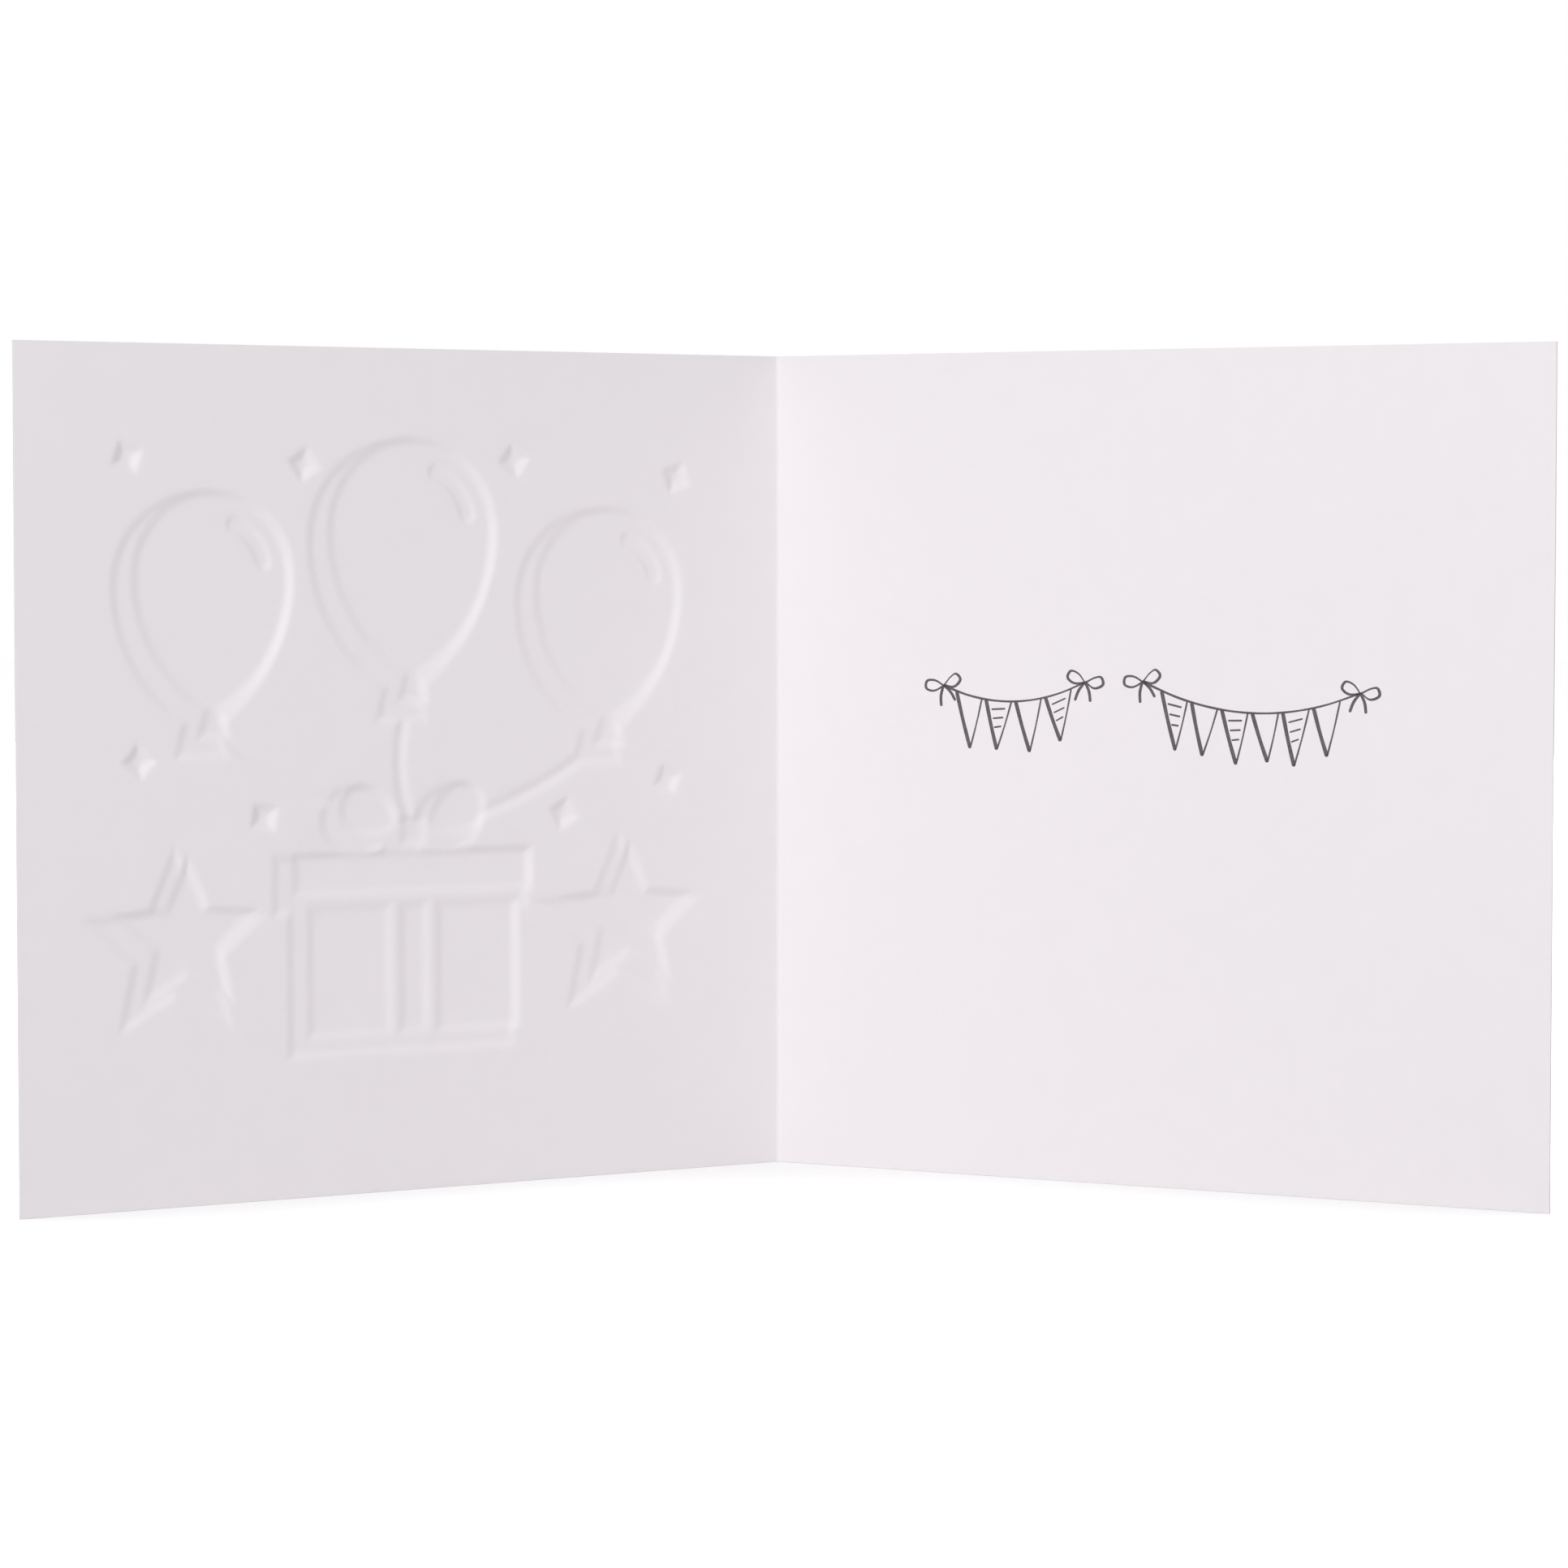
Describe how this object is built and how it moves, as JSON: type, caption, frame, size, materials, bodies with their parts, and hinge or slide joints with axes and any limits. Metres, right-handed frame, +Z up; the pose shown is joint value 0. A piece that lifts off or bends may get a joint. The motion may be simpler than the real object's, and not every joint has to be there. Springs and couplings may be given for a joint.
{
  "type": "greeting card",
  "caption": "Square greeting card folded once and standing open, with a stepped blind-embossed party picture on its front leaf.",
  "frame": {"origin": "middle of the footprint, on the surface that the card stands on", "axes": "+Z up along the fold, +X from the front leaf to the back leaf, -Y out of the open side"},
  "size_m": [0.2808, 0.0772, 0.16],
  "materials": {
    "card_board": "uncoated smooth white card board, very slightly lilac",
    "ink": "thin matt dark grey print on the inside of the back leaf"
  },
  "bodies": {
    "root": {"folded_card": "card_board"}
  },
  "joints": []
}
